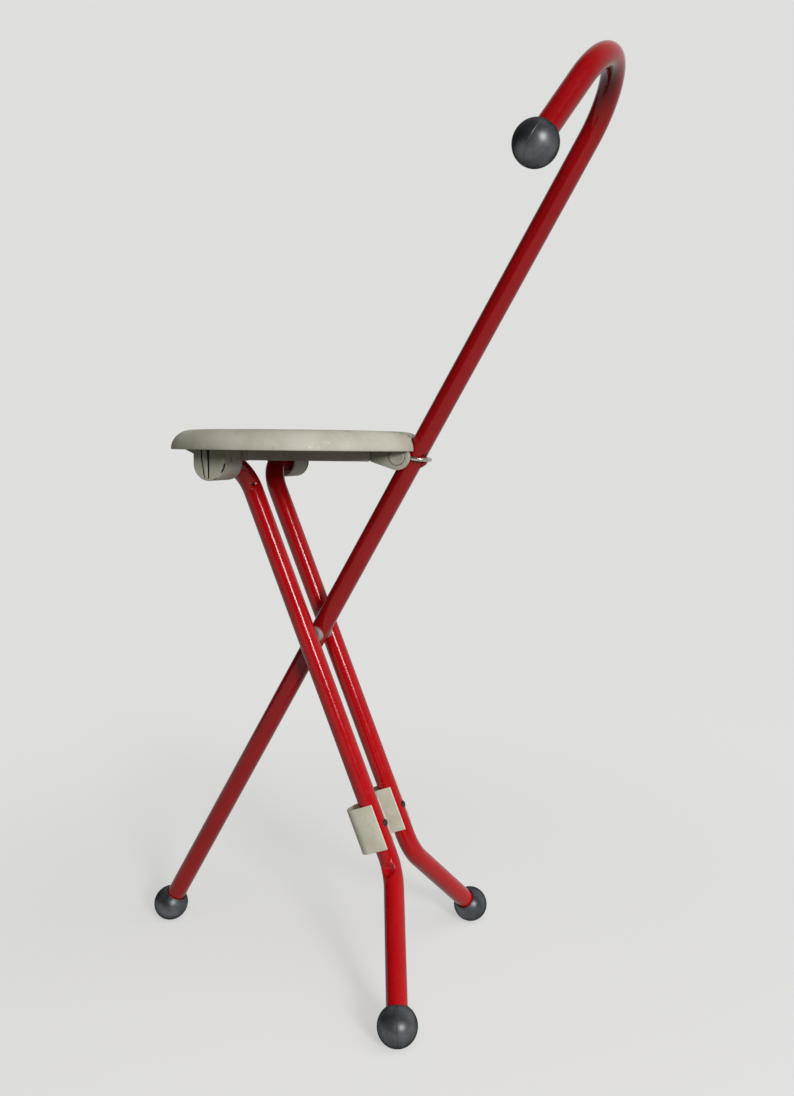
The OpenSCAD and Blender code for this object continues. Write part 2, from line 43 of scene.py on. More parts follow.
# Camera: the photograph's viewpoint, worked out from the stool's own perspective.
# It stands in front of the near leg, a little above half the stool's height.
eye = Vector((0.34914, -0.84960, 0.53188))
turn, dip, roll = radians(20.11), radians(6.23), radians(0.58)
frame_height, focal = 1096, 927.61
ahead = Vector((-sin(turn) * cos(dip), cos(turn) * cos(dip), -sin(dip)))
level = Vector((cos(turn), sin(turn), 0))
upward = level.cross(ahead)
across = level * cos(roll) + upward * sin(roll)
upward = upward * cos(roll) - level * sin(roll)
lens = bpy.data.cameras.new("camera")
lens.sensor_fit = "VERTICAL"
lens.sensor_height = 24
lens.lens = focal / frame_height * lens.sensor_height
camera = bpy.data.objects.new("camera", lens)
camera.matrix_world = Matrix.Translation(eye) @ Matrix((across, upward, -ahead)).transposed().to_4x4()
scene.collection.objects.link(camera)
scene.camera = camera
scene.view_settings.view_transform = "Standard"


# Room: a pale floor that fades into a pale backdrop, and daylight from one window to the
# right of the camera, with a soft glow above it, from the wall on the right and, weaker
# and warmer, from the left.
def tone(red, green, blue):
    """A colour of 0 to 255 values, in the linear scale that shaders use."""
    return [((c / 255 + 0.055) / 1.055) ** 2.4 for c in (red, green, blue)] + [1]


def new_finish(name, **shader):
    """A new material, with constant values on its shader's own sockets."""
    finish = bpy.data.materials.new(name)
    finish.use_nodes = True
    for socket, value in shader.items():
        finish.node_tree.nodes["Principled BSDF"].inputs[socket.replace("_", " ")].default_value = value
    return finish


def add(finish, kind, inputs=(), **settings):
    """A node in a material, with its settings, and with values or links on its inputs."""
    tree = finish.node_tree
    made = tree.nodes.new(kind)
    for key, value in settings.items():
        setattr(made, key, value)
    for key, value in dict(inputs).items():
        if isinstance(value, bpy.types.NodeSocket):
            tree.links.new(value, made.inputs[key])
        else:
            made.inputs[key].default_value = value
    return made


def feed(finish, **sockets):
    """Links the sockets of a material's shader."""
    shader = finish.node_tree.nodes["Principled BSDF"]
    for key, value in sockets.items():
        finish.node_tree.links.new(value, shader.inputs[key.replace("_", " ")])


def step(finish, value, low, high):
    """0 below low and 1 above high, with a soft step between them."""
    return add(finish, "ShaderNodeMapRange", {"Value": value, "From Min": low, "From Max": high},
               interpolation_type="SMOOTHSTEP").outputs[0]


def rescale(finish, value, low, high, first, last):
    """A value that runs from first to last while another runs from low to high."""
    return add(finish, "ShaderNodeMapRange", {
        "Value": value, "From Min": low, "From Max": high, "To Min": first, "To Max": last}).outputs[0]


def blend(finish, share, first, second):
    """A colour between two others."""
    return add(finish, "ShaderNodeMix", {0: share, 6: first, 7: second}, data_type="RGBA").outputs[2]


def maths(finish, kind, first, second):
    """One Math node of two values."""
    return add(finish, "ShaderNodeMath", {0: first, 1: second}, operation=kind, use_clamp=True).outputs[0]


backdrop = tone(222, 223, 221)
floor_finish = new_finish("floor", Roughness=0.7, Specular_IOR_Level=0.2)
seen = add(floor_finish, "ShaderNodeLightPath")
shown = maths(floor_finish, "ADD", seen.outputs["Is Camera Ray"], seen.outputs["Is Glossy Ray"])
shown = maths(floor_finish, "ADD", shown, seen.outputs["Is Transmission Ray"])
feed(floor_finish, Base_Color=blend(floor_finish, shown, tone(88, 86, 82), tone(247, 246, 243)))
on_floor = add(floor_finish, "ShaderNodeTexCoord").outputs["Object"]
distance = add(floor_finish, "ShaderNodeVectorMath", {0: on_floor}, operation="LENGTH").outputs["Value"]
far_off = step(floor_finish, distance, 0.3, 1.6)
fading = maths(floor_finish, "MULTIPLY", shown, rescale(floor_finish, far_off, 0, 1, 0.5, 1))
floor_colour = blend(floor_finish, far_off, tone(250, 250, 247), backdrop)
pale = add(floor_finish, "ShaderNodeEmission", {"Color": floor_colour})
floor_nodes = floor_finish.node_tree.nodes
mixed = add(floor_finish, "ShaderNodeMixShader",
            {0: fading, 1: floor_nodes["Principled BSDF"].outputs[0], 2: pale.outputs[0]})
floor_finish.node_tree.links.new(mixed.outputs[0], floor_nodes["Material Output"].inputs["Surface"])
bpy.ops.object.select_all(action="DESELECT")
bpy.ops.mesh.primitive_plane_add(size=40)
floor = bpy.context.object
floor.name = "floor"
floor.data.materials.append(floor_finish)

# The backdrop stands behind the stool and to its right. Gloss shows it there, and shows
# the dim rest of the room elsewhere.
world = bpy.data.worlds.new("room")
scene.world = world
world.use_nodes = True
look = add(world, "ShaderNodeTexCoord").outputs["Generated"]


def facing(heading, low, high):
    """1 where the room is looked at along a heading, and 0 away from it."""
    along = add(world, "ShaderNodeVectorMath", {0: look, 1: heading}, operation="DOT_PRODUCT")
    return step(world, along.outputs["Value"], low, high)


around = blend(world, facing((0.25, 0.95, 0.15), -0.1, 0.7), tone(46, 46, 49), backdrop)
glow = tone(42, 42, 45)
for heading, low, high, colour in (((0.55, -0.35, 0.76), 0.6, 0.97, tone(254, 254, 255)),
                                   ((0.99, 0.06, 0.12), 0.82, 0.98, (0.85, 0.85, 0.87, 1)),
                                   ((-0.68, -0.73, -0.04), 0.66, 0.97, (0.44, 0.40, 0.35, 1))):
    glow = blend(world, facing(heading, low, high), glow, colour)
seen = add(world, "ShaderNodeLightPath")
gloss = maths(world, "ADD", seen.outputs["Is Glossy Ray"], seen.outputs["Is Transmission Ray"])
air = blend(world, seen.outputs["Is Camera Ray"], blend(world, gloss, glow, around), backdrop)
world.node_tree.links.new(air, world.node_tree.nodes["Background"].inputs["Color"])

# The window is a soft upright lamp that faces the middle of the stool.
light = bpy.data.lights.new("window", "AREA")
light.shape = "RECTANGLE"
light.size, light.size_y = 0.7, 0.8
light.energy = 64
window = bpy.data.objects.new("window", light)
window_spot = Vector((2.326, -2.246, 1.411))
stool_middle = Vector((0, 0, 0.42))
away = (window_spot - stool_middle).normalized()
aside = Vector((0, 0, 1)).cross(away).normalized()
aimed = Matrix((aside, away.cross(aside), away)).transposed().to_4x4()
window.matrix_world = Matrix.Translation(window_spot) @ aimed
scene.collection.objects.link(window)


# Cane: one length of 20 mm steel tube, turned over into a hook at its top, with a small
# welded lug that the bail rests on. Both are sprayed red.
middle = 0.0004555
cane_tilt = radians(29.45)
cane_lean = Matrix.Rotation(cane_tilt, 4, "Y")
cane_place = Matrix.Translation((-0.229118, middle, 0.0185)) @ cane_lean
tube_r = 0.010
socket = 0.005
cane_len, hook_r, hook_bend, hook_limb = 0.8983, 0.051, radians(160), 0.0637
lug_top, lug_len, lug_w = 0.58113, 0.009, 0.006
lug_in, lug_toe, lug_out, lug_chin = 0.008, 0.0104, 0.0134, 0.0036


def leave():
    """Leaves edit mode, with nothing selected."""
    if bpy.context.object and bpy.context.object.mode == "EDIT":
        bpy.ops.object.mode_set(mode="OBJECT")
    bpy.ops.object.select_all(action="DESELECT")


def start(name, primitive, **size):
    """A primitive, added where it belongs, with its place in its mesh, open for editing."""
    leave()
    primitive(**size)
    piece = bpy.context.object
    piece.name = piece.data.name = name
    bpy.ops.object.transform_apply(location=True, rotation=True, scale=True)
    bpy.ops.object.mode_set(mode="EDIT")
    bpy.ops.mesh.select_all(action="SELECT")
    return piece


def drawn(name, corners):
    """A line from corner to corner, drawn by extruding one point."""
    piece = start(name, bpy.ops.mesh.primitive_plane_add, size=0.002, location=corners[0])
    bpy.ops.mesh.merge(type="CENTER")
    for here, there in zip(corners, corners[1:]):
        pull(Vector(there) - Vector(here))
    return piece


def pull(by):
    """Extrudes what is selected."""
    bpy.ops.mesh.extrude_region_move(TRANSFORM_OT_translate={"value": by})


def plate(name, corners, thickness):
    """A flat plate of that outline, pulled out to its thickness."""
    piece = drawn(name, corners)
    bpy.ops.mesh.select_all(action="SELECT")
    bpy.ops.mesh.edge_face_add()
    pull(thickness)
    face_outwards()
    return piece


def face_outwards():
    """Points all faces outwards."""
    bpy.ops.mesh.select_all(action="SELECT")
    bpy.ops.mesh.normals_make_consistent(inside=False)


def only(piece):
    """Leaves edit mode, with that piece alone selected."""
    leave()
    piece.select_set(True)
    bpy.context.view_layer.objects.active = piece


def put(piece, place):
    """Moves a piece to its place on the stool and keeps that place in its mesh."""
    only(piece)
    piece.matrix_world = place
    bpy.ops.object.transform_apply(location=True, rotation=True, scale=True)


def modify(piece, kind, **settings):
    """Adds a modifier and applies it."""
    only(piece)
    modifier = piece.modifiers.new(kind, kind)
    for key, value in settings.items():
        setattr(modifier, key, value)
    bpy.ops.object.modifier_apply(modifier=modifier.name)


def round_edges(piece, width, segments, angle):
    """Rounds the sharp edges of a piece."""
    modify(piece, "BEVEL", width=width, segments=segments, limit_method="ANGLE", angle_limit=radians(angle))


def dress(piece, body, slot, finish, *nodes, angle=35):
    """Smooths a finished piece, gives it its material and lets it stand for its CAD nodes."""
    only(piece)
    bpy.ops.object.shade_smooth_by_angle(angle=radians(angle))
    piece.data.materials.clear()
    piece.data.materials.append(finish)
    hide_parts(*nodes)
    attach(piece, body)


def tube_bend(angle, centre, axis, steps):
    """Spins the selected ring round a bend."""
    bpy.ops.mesh.spin(steps=steps, angle=angle, center=centre, axis=axis)


def close_ends():
    """Closes the open ends of a tube."""
    bpy.ops.mesh.select_all(action="SELECT")
    bpy.ops.mesh.fill_holes(sides=0)
    face_outwards()


def spot_near(finish, where, size, soft):
    """1 inside a ball round a point on the stool, ragged at its edge."""
    spot = add(finish, "ShaderNodeTexCoord").outputs["Object"]
    gap = add(finish, "ShaderNodeVectorMath", {0: spot, 1: where}, operation="DISTANCE").outputs["Value"]
    ragged = add(finish, "ShaderNodeMath", {0: grain(finish, spot, 600), 1: soft, 2: gap},
                 operation="MULTIPLY_ADD").outputs[0]
    return rescale(finish, ragged, size + soft * 0.5, size * 0.8 + soft * 0.5, 0, 1)


def marks_at(finish, marks, soft):
    """1 inside any of several marks, each given by its place and its size."""
    found = 0.0
    for where, size in marks:
        found = maths(finish, "MAXIMUM", found, spot_near(finish, where, size, soft))
    return found


def place_of(finish, stretch=(1, 1, 1), turned=(0, 0, 0)):
    """Object coordinates, turned and then stretched along their axes."""
    spot = add(finish, "ShaderNodeTexCoord").outputs["Object"]
    return add(finish, "ShaderNodeMapping", {"Vector": spot, "Rotation": turned, "Scale": stretch}).outputs[0]


def grain(finish, spot, scale, detail=2.0, rough=0.5):
    """A noise pattern of so many spots in a metre."""
    return add(finish, "ShaderNodeTexNoise",
               {"Vector": spot, "Scale": scale, "Detail": detail, "Roughness": rough}).outputs["Fac"]


def relief(finish, height, depth, strength):
    """A bump from a height pattern."""
    return add(finish, "ShaderNodeBump", {
        "Height": height, "Distance": depth, "Strength": strength}).outputs[0]


red_paint = new_finish("red_paint", Specular_IOR_Level=0.25)
spot = place_of(red_paint)
blotch = grain(red_paint, spot, 28, 3)
faded = blend(red_paint, step(red_paint, blotch, 0.35, 0.7), tone(184, 12, 19), tone(193, 17, 24))
speckle = grain(red_paint, spot, 620, 2)
dusty = blend(red_paint, step(red_paint, speckle, 0.56, 0.75), faded, tone(160, 10, 16))
scuffs = grain(red_paint, spot, 170, 5, 0.62)
scuffed = blend(red_paint, maths(red_paint, "MULTIPLY", step(red_paint, scuffs, 0.62, 0.74), 0.3),
                dusty, tone(206, 60, 62))
chips = maths(red_paint, "MULTIPLY", step(red_paint, grain(red_paint, spot, 210, 3), 0.735, 0.75),
              step(red_paint, grain(red_paint, spot, 9, 1), 0.5, 0.6))
chips = maths(red_paint, "MAXIMUM", chips, marks_at(red_paint, (
    ((0.2405, -0.052, 0.8452), 0.0016), ((0.2285, -0.060, 0.8368), 0.0012),
    ((-0.1017, -0.0332, 0.4937), 0.0021), ((0.0466, -0.0400, 0.1156), 0.0021),
    ((0.0676, -0.0022, 0.5249), 0.0022), ((0.0655, -0.0050, 0.5243), 0.0012)), 0.003))
# Pale nicks round the dent in the near leg's top bend: partly scuffed paint at a chip's rim, partly painted
# highlight where light catches the dent.
nick_glints = marks_at(red_paint, (
    ((-0.1043, -0.0357, 0.4947), 0.0010), ((-0.1028, -0.0348, 0.4890), 0.0009),
    ((-0.1000, -0.0400, 0.4905), 0.0008)), 0.0012)
nicked_and_glinting = blend(red_paint, nick_glints, scuffed, tone(196, 96, 94))

# The cane's paint is painted darker than that of the legs, as painted shade: in the
# room's light the cane, leaning the other way, shows darker. The cane is the tube in the
# middle, and all that stands higher than the seat.
place = add(red_paint, "ShaderNodeSeparateXYZ", {0: spot})
on_cane = add(red_paint, "ShaderNodeMath", {0: place.outputs["Y"], 1: middle, 2: 0.0125},
              operation="COMPARE").outputs[0]
on_cane = maths(red_paint, "MAXIMUM", on_cane, step(red_paint, place.outputs["Z"], 0.7, 0.701))
# Painted shade: the cane's red is blended a third of the way towards near black.
cane_painted_shade = blend(red_paint, maths(red_paint, "MULTIPLY", on_cane, 0.34), nicked_and_glinting, tone(20, 2, 3))
feed(red_paint, Base_Color=blend(red_paint, chips, cane_painted_shade, tone(34, 14, 14)))
feed(red_paint, Roughness=rescale(red_paint, scuffs, 0.4, 0.75, 0.11, 0.22))
skin = maths(red_paint, "SUBTRACT", maths(red_paint, "MULTIPLY", grain(red_paint, spot, 60, 2), 0.5), chips)
feed(red_paint, Normal=relief(red_paint, skin, 0.0001, 0.3))

cane = start("cane", bpy.ops.mesh.primitive_circle_add, vertices=64, radius=tube_r, location=(0, 0, -socket))
pull((0, 0, cane_len + socket))
tube_bend(hook_bend, (0, -hook_r, cane_len), (-1, 0, 0), 40)
pull(Vector((0, -sin(hook_bend), cos(hook_bend))) * (hook_limb + socket))
close_ends()
put(cane, cane_place)
dress(cane, "cane", "red_paint", red_paint, "cane_tube")

lug = plate("bail_lug", [
    (lug_in, -lug_w / 2, lug_top), (lug_out, -lug_w / 2, lug_top),
    (lug_out, -lug_w / 2, lug_top - lug_chin), (lug_toe, -lug_w / 2, lug_top - lug_len),
    (lug_in, -lug_w / 2, lug_top - lug_len)], (0, lug_w, 0))
round_edges(lug, 0.0011, 4, 30)
put(lug, cane_place)
dress(lug, "cane", "red_paint", red_paint, "bail_stop")


# Balls: moulded in grey plastic with a metallic fleck, pushed on to the four tube ends.
# Each has a chamfered mouth, and a fine parting line where the halves of its mould met.
ball_r = 0.01849
mouth_r, ball_bore, foot_bore = 0.0112, 0.01006, 0.01001
mouth_z = -sqrt(ball_r ** 2 - mouth_r ** 2)
chamfer, bore_deep = 0.0007, 0.006
seam_w, seam_depth = 0.0004, 0.015

ball_grey = new_finish("ball_grey", Metallic=0.85, Specular_Tint=(0.1, 0.1, 0.1, 1))
spot = place_of(ball_grey)
clouds = grain(ball_grey, spot, 70, 4)
body_grey = blend(ball_grey, step(ball_grey, clouds, 0.35, 0.68), tone(82, 86, 89), tone(108, 112, 115))
fleck = step(ball_grey, grain(ball_grey, spot, 2600, 1), 0.6, 0.7)
flecked = blend(ball_grey, maths(ball_grey, "MULTIPLY", fleck, 0.35), body_grey, tone(150, 153, 156))
scratch_spot = place_of(ball_grey, (1, 1, 0.16), (0.5, 0.2, 0))
scratch = step(ball_grey, grain(ball_grey, scratch_spot, 700, 3), 0.66, 0.74)
scratched = blend(ball_grey, maths(ball_grey, "MULTIPLY", scratch, 0.5), flecked, tone(44, 45, 48))
feed(ball_grey, Base_Color=scratched)
feed(ball_grey, Roughness=rescale(ball_grey, clouds, 0.3, 0.7, 0.36, 0.48))
ripple = maths(ball_grey, "ADD", scratch, grain(ball_grey, spot, 300))
feed(ball_grey, Normal=relief(ball_grey, ripple, 0.0001, 0.35))


def pick(piece, wanted):
    """Selects the vertices whose place is wanted."""
    bpy.ops.mesh.select_all(action="DESELECT")
    mesh = bmesh.from_edit_mesh(piece.data)
    for corner in mesh.verts:
        corner.select_set(wanted(corner.co))
    mesh.select_flush_mode()
    bmesh.update_edit_mesh(piece.data)


def end_ball(name, body, node, place, bore):
    """A ball whose tube comes in from below."""
    ball = start(name, bpy.ops.mesh.primitive_uv_sphere_add, segments=64, ring_count=36, radius=ball_r)
    bpy.ops.mesh.bisect(plane_co=(0, 0, mouth_z), plane_no=(0, 0, 1), clear_inner=True)
    pick(ball, lambda c: c.z < mouth_z + 1e-5)
    pull((0, 0, chamfer))
    bpy.ops.transform.resize(value=(bore / mouth_r, bore / mouth_r, 1))
    pull((0, 0, bore_deep))
    bpy.ops.mesh.edge_face_add()
    pick(ball, lambda c: abs(c.x) < 1e-6 and c.length > ball_r - 1e-4)
    bpy.ops.mesh.bevel(offset=seam_w, segments=2, affect="EDGES")
    pick(ball, lambda c: abs(c.x) < 1e-6 and c.length > ball_r - 2e-4 and c.z > mouth_z + 1e-4)
    bpy.ops.transform.resize(value=(1, 1 - seam_depth, 1 - seam_depth), center_override=(0, 0, 0))
    face_outwards()
    put(ball, place)
    dress(ball, body, "ball_plastic", ball_grey, node, angle=30)


hook_end = Vector((0, hook_r * (cos(hook_bend) - 1), cane_len + hook_r * sin(hook_bend)))
limb_place = cane_place @ Matrix.Translation(hook_end) @ Matrix.Rotation(hook_bend, 4, "X")
end_ball("handle_ball_grey", "cane", "handle_ball",
         limb_place @ Matrix.Translation((0, 0, hook_limb)), ball_bore)
end_ball("cane_foot_ball_grey", "cane", "cane_foot_ball", cane_place @ Matrix.Rotation(pi, 4, "X"), ball_bore)


# Pivot: grey plastic spacers between the cane and the legs, saddled against the cane,
# with the steel pivot pin through them.
pivot_up, leg_y = 0.3713, 0.026
spacer_r, spacer_in, spacer_out = 0.0085, 0.0062, 0.0157
dish_rim, dish_deep = 0.0018, 0.0005

spacer_grey = new_finish("spacer_grey", Roughness=0.5)
spot = place_of(spacer_grey)
greying = step(spacer_grey, grain(spacer_grey, spot, 150, 3), 0.35, 0.7)
feed(spacer_grey, Base_Color=blend(spacer_grey, greying, tone(140, 134, 124), tone(176, 170, 156)))
feed(spacer_grey, Normal=relief(spacer_grey, grain(spacer_grey, spot, 900), 0.0001, 0.4))


def again(piece, name):
    """A copy of a piece, with its own mesh."""
    only(piece)
    bpy.ops.object.duplicate()
    copy = bpy.context.object
    copy.name = copy.data.name = name
    return copy


mirrored = Matrix.Scale(-1, 4, (0, 1, 0))
across_stool = Matrix.Translation((0, 2 * middle, 0)) @ mirrored


def far_twin(piece, name, mirror=across_stool):
    """The same piece mirrored to the far side of the stool."""
    twin = again(piece, name)
    put(twin, mirror)
    bpy.ops.object.mode_set(mode="EDIT")
    face_outwards()
    leave()
    return twin


spacer = start("spacer_near", bpy.ops.mesh.primitive_cylinder_add, vertices=64, radius=spacer_r,
               depth=spacer_out - spacer_in, rotation=(pi / 2, 0, 0),
               location=(0, -(spacer_in + spacer_out) / 2, pivot_up))
pick(spacer, lambda c: c.y < -spacer_out + 1e-5)
bpy.ops.mesh.inset(thickness=dish_rim)
pull((0, dish_deep, 0))
round_edges(spacer, 0.0006, 3, 50)
put(spacer, cane_place)
far_spacer = far_twin(spacer, "spacer_far")
dress(spacer, "cane", "bush_plastic", spacer_grey, "pivot_bush_near")
dress(far_spacer, "cane", "bush_plastic", spacer_grey, "pivot_bush_far")

bright_steel = new_finish("bright_steel", Metallic=1.0)
shine = step(bright_steel, grain(bright_steel, place_of(bright_steel), 160, 3), 0.4, 0.7)
wear = grain(bright_steel, place_of(bright_steel, (1, 0.2, 1)), 900, 3)
feed(bright_steel, Base_Color=blend(bright_steel, shine, tone(168, 164, 154), tone(206, 203, 196)))
feed(bright_steel, Roughness=rescale(bright_steel, wear, 0.3, 0.7, 0.18, 0.36))
feed(bright_steel, Normal=relief(bright_steel, wear, 0.00005, 0.4))


def refinish(finish, *names):
    """Gives CAD nodes that stay on show a material."""
    for name in names:
        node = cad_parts[name]
        node.data.materials.clear()
        node.data.materials.append(finish)


refinish(bright_steel, "pivot_pin")


# Legs: two lengths of the same tube. Each is bent outwards into its seat hinge at the
# top, and splayed outwards near its foot, where the inside of the bend is crimped. The
# near one has a small dent in its top bend.
leg_tilt = radians(-22.4)
leg_place = Matrix.Translation((-0.0465635, middle, 0.3418225)) @ Matrix.Rotation(leg_tilt, 4, "Y")
top_bend_r, foot_bend_r, splay = 0.031, 0.045, radians(42.13)
leg_upper, leg_lower = 0.1556, 0.22867
hinge_tail, foot_limb = 0.0301, 0.12251

leg = start("leg_red_near", bpy.ops.mesh.primitive_circle_add, vertices=64, radius=tube_r,
            location=(0, -leg_y, -leg_lower))
pull((0, 0, leg_lower + leg_upper))
tube_bend(pi / 2, (0, -leg_y - top_bend_r, leg_upper), (-1, 0, 0), 28)
pull((0, -hinge_tail, 0))
pick(leg, lambda c: abs(c.z + leg_lower) < 1e-6)
tube_bend(splay, (0, -leg_y - foot_bend_r, -leg_lower), (1, 0, 0), 36)
pull(Vector((0, -sin(splay), -cos(splay))) * (foot_limb + socket))
close_ends()
crimp = radians(19)
inward = Vector((0, cos(crimp), -sin(crimp)))
crimp_spot = Vector((0.0008, -leg_y - foot_bend_r, -leg_lower)) + inward * (foot_bend_r - tube_r)
for push, reach in ((-0.0008, 0.011), (0.0046, 0.0072)):
    pick(leg, lambda c: (c - crimp_spot).length < 0.0018)
    bpy.ops.transform.translate(value=inward * push, use_proportional_edit=True,
                                proportional_edit_falloff="SMOOTH", proportional_size=reach)
put(leg, leg_place)
far_leg = far_twin(leg, "leg_red_far")
only(leg)
bpy.ops.object.mode_set(mode="EDIT")
dent = Vector((-0.1017, -0.0332, 0.4937))
pick(leg, lambda c: (c - dent).length < 0.0018)
bpy.ops.transform.translate(value=(-0.0007, 0.0008, -0.0003), use_proportional_edit=True,
                            proportional_edit_falloff="SMOOTH", proportional_size=0.0034)
leave()
dress(leg, "legs", "red_paint", red_paint, "leg_near")
dress(far_leg, "legs", "red_paint", red_paint, "leg_far")

foot_bend = Vector((0, -leg_y + foot_bend_r * (cos(splay) - 1), -leg_lower - foot_bend_r * sin(splay)))
foot_end = foot_bend + Vector((0, -sin(splay), -cos(splay))) * foot_limb
# The near foot ball is turned so that its parting line comes to the front.
seam_turn = Matrix.Rotation(radians(-28), 4, "Z")
foot_place = leg_place @ Matrix.Translation(foot_end) @ Matrix.Rotation(pi - splay, 4, "X") @ seam_turn
end_ball("foot_ball_grey_near", "legs", "foot_ball_near", foot_place, foot_bore)
end_ball("foot_ball_grey_far", "legs", "foot_ball_far",
         across_stool @ foot_place @ Matrix.Scale(-1, 4, (1, 0, 0)), foot_bore)


# Leg clips: cream plastic channels that stand behind the legs and grip the folded cane.
# Each is held by one dark screw through the leg.
clip_down, clip_len, clip_back, clip_lip = 0.1975, 0.046, 0.012, 0.008
clip_wall = 0.002
clip_mid = tube_r + 0.00005 + clip_wall / 2
clip_low = -clip_down - clip_len / 2
stem_r, stem_len, stem_x = 0.004, 0.0125, -0.0166
head_r, head_t, head_x = 0.004, 0.0021, 0.0104
slot_x, slot_deep, slot_w, slot_len = 0.0116, 0.0018, 0.0012, 0.012

clip_cream = new_finish("clip_cream", Roughness=0.42, Subsurface_Weight=0.05,
                        Subsurface_Radius=(0.004, 0.003, 0.002))
spot = place_of(clip_cream)
yellowing = step(clip_cream, grain(clip_cream, spot, 45, 3), 0.35, 0.72)
cream = blend(clip_cream, yellowing, tone(230, 226, 207), tone(214, 209, 186))
rub = step(clip_cream, grain(clip_cream, spot, 330, 4, 0.6), 0.6, 0.75)
rubbed = blend(clip_cream, maths(clip_cream, "MULTIPLY", rub, 0.5), cream, tone(150, 142, 122))
feed(clip_cream, Base_Color=rubbed)
feed(clip_cream, Normal=relief(clip_cream, grain(clip_cream, spot, 800), 0.0001, 0.3))


def turns(first, last, steps):
    """The angles from first to last, both given in degrees, in equal steps."""
    return [radians(first + (last - first) * i / steps) for i in range(steps + 1)]


def cut(piece, cutter):
    """Cuts one piece out of another."""
    only(cutter)
    modify(piece, "BOOLEAN", object=cutter, operation="DIFFERENCE", solver="EXACT")
    bpy.data.objects.remove(cutter)


def weld(piece, *others):
    """Joins the others into the piece."""
    only(piece)
    for other in others:
        other.select_set(True)
    bpy.ops.object.join()


clip = drawn("clip_cream_near", [(clip_lip - 0.0016, -leg_y + clip_mid, clip_low)] + [
    (-clip_back + clip_mid * cos(a), -leg_y + clip_mid * sin(a), clip_low) for a in turns(90, 270, 24)] + [
    (clip_lip, -leg_y - clip_mid, clip_low)])
bpy.ops.mesh.select_all(action="SELECT")
pull((0, 0, clip_len))
face_outwards()
modify(clip, "SOLIDIFY", thickness=clip_wall, offset=0)
round_edges(clip, 0.00055, 3, 50)
stem = start("stem", bpy.ops.mesh.primitive_cylinder_add, vertices=32, radius=stem_r, depth=stem_len,
             rotation=(0, pi / 2, 0), location=(stem_x, -leg_y, -clip_down))
weld(clip, stem)
put(clip, leg_place)

# The far clip is the same moulding, moved across the stool and not mirrored.
far_clip = again(clip, "clip_cream_far")
put(far_clip, Matrix.Translation((0, 2 * leg_y, 0)))
dress(clip, "legs", "clip_plastic", clip_cream, "clip_near")
dress(far_clip, "legs", "clip_plastic", clip_cream, "clip_far")

dark_steel = new_finish("dark_steel", Metallic=0.75)
spot = place_of(dark_steel)
rust = step(dark_steel, grain(dark_steel, spot, 420, 4, 0.6), 0.42, 0.66)
feed(dark_steel, Base_Color=blend(dark_steel, rust, tone(62, 58, 56), tone(92, 60, 42)))
feed(dark_steel, Roughness=rescale(dark_steel, rust, 0, 1, 0.34, 0.8))
feed(dark_steel, Normal=relief(dark_steel, rust, 0.0001, 0.5))

screw = start("clip_screw_dark_near", bpy.ops.mesh.primitive_cylinder_add, vertices=48, radius=head_r,
              depth=head_t, rotation=(0, pi / 2, 0), location=(head_x, -leg_y, -clip_down))
pick(screw, lambda c: c.x > head_x)
bpy.ops.transform.resize(value=(1, 0.72, 0.72))
round_edges(screw, 0.0007, 3, 30)
slot_cut = start("slot_cut", bpy.ops.mesh.primitive_cube_add, size=1,
                 location=(slot_x, -leg_y, -clip_down), scale=(slot_deep, slot_w, slot_len))
cut(screw, slot_cut)
put(screw, leg_place)
far_screw = far_twin(screw, "clip_screw_dark_far")
dress(screw, "legs", "dark_steel", dark_steel, "clip_screw_near")
dress(far_screw, "legs", "dark_steel", dark_steel, "clip_screw_far")
refinish(dark_steel, "housing_screws", "fork_screws")
refinish(clip_cream, "hinge_bush_near", "hinge_bush_far")


# Seat: one moulding in greige plastic, with a rounded shoulder, a slightly sunk middle,
# and a slanted scallop at its rear edge that clears the cane.
seat_place = Matrix.Translation((-0.0677729, middle, 0.5274425))
seat_r, seat_t, shoulder_w, rim_band, rim_wall = 0.12635, 0.0190, 0.0208, 0.0005, 0.0034
flat_r, flat_z, plate_low = 0.075, 0.0175, 0.0143
dish_r, dish_z, crown_r = 0.0895, 0.01885, 0.0925
cane_x, notch_r = 0.12606, 0.0115
groove_len, groove_out = 0.08, 0.03

seat_greige = new_finish("seat_greige")
spot = place_of(seat_greige)
stain = grain(seat_greige, spot, 16, 4, 0.6)
base = blend(seat_greige, step(seat_greige, stain, 0.35, 0.68), tone(203, 199, 185), tone(184, 178, 160))
grime = step(seat_greige, grain(seat_greige, spot, 75, 5, 0.65), 0.55, 0.76)
grimy = blend(seat_greige, maths(seat_greige, "MULTIPLY", grime, 0.45), base, tone(140, 128, 108))
pale_spot = maths(seat_greige, "MULTIPLY", step(seat_greige, grain(seat_greige, spot, 380, 2), 0.68, 0.72),
                  step(seat_greige, grain(seat_greige, spot, 18, 1), 0.48, 0.6))
pale_spot = maths(seat_greige, "MAXIMUM", pale_spot, marks_at(seat_greige, (
    ((0.0030, -0.1055, 0.5305), 0.0016), ((-0.0045, -0.1085, 0.5303), 0.0011),
    ((0.0085, -0.1030, 0.5308), 0.0010)), 0.0016))
worn = blend(seat_greige, maths(seat_greige, "MULTIPLY", pale_spot, 0.6), grimy, tone(236, 233, 220))
scrape = maths(seat_greige, "MAXIMUM", spot_near(seat_greige, (0.0440, -0.0100, 0.5453), 0.0030, 0.003),
               marks_at(seat_greige, (((0.0415, -0.0190, 0.5455), 0.0018),
                                      ((0.0505, -0.0045, 0.5425), 0.0022)), 0.002))
scraped = blend(seat_greige, scrape, worn, tone(74, 82, 70))
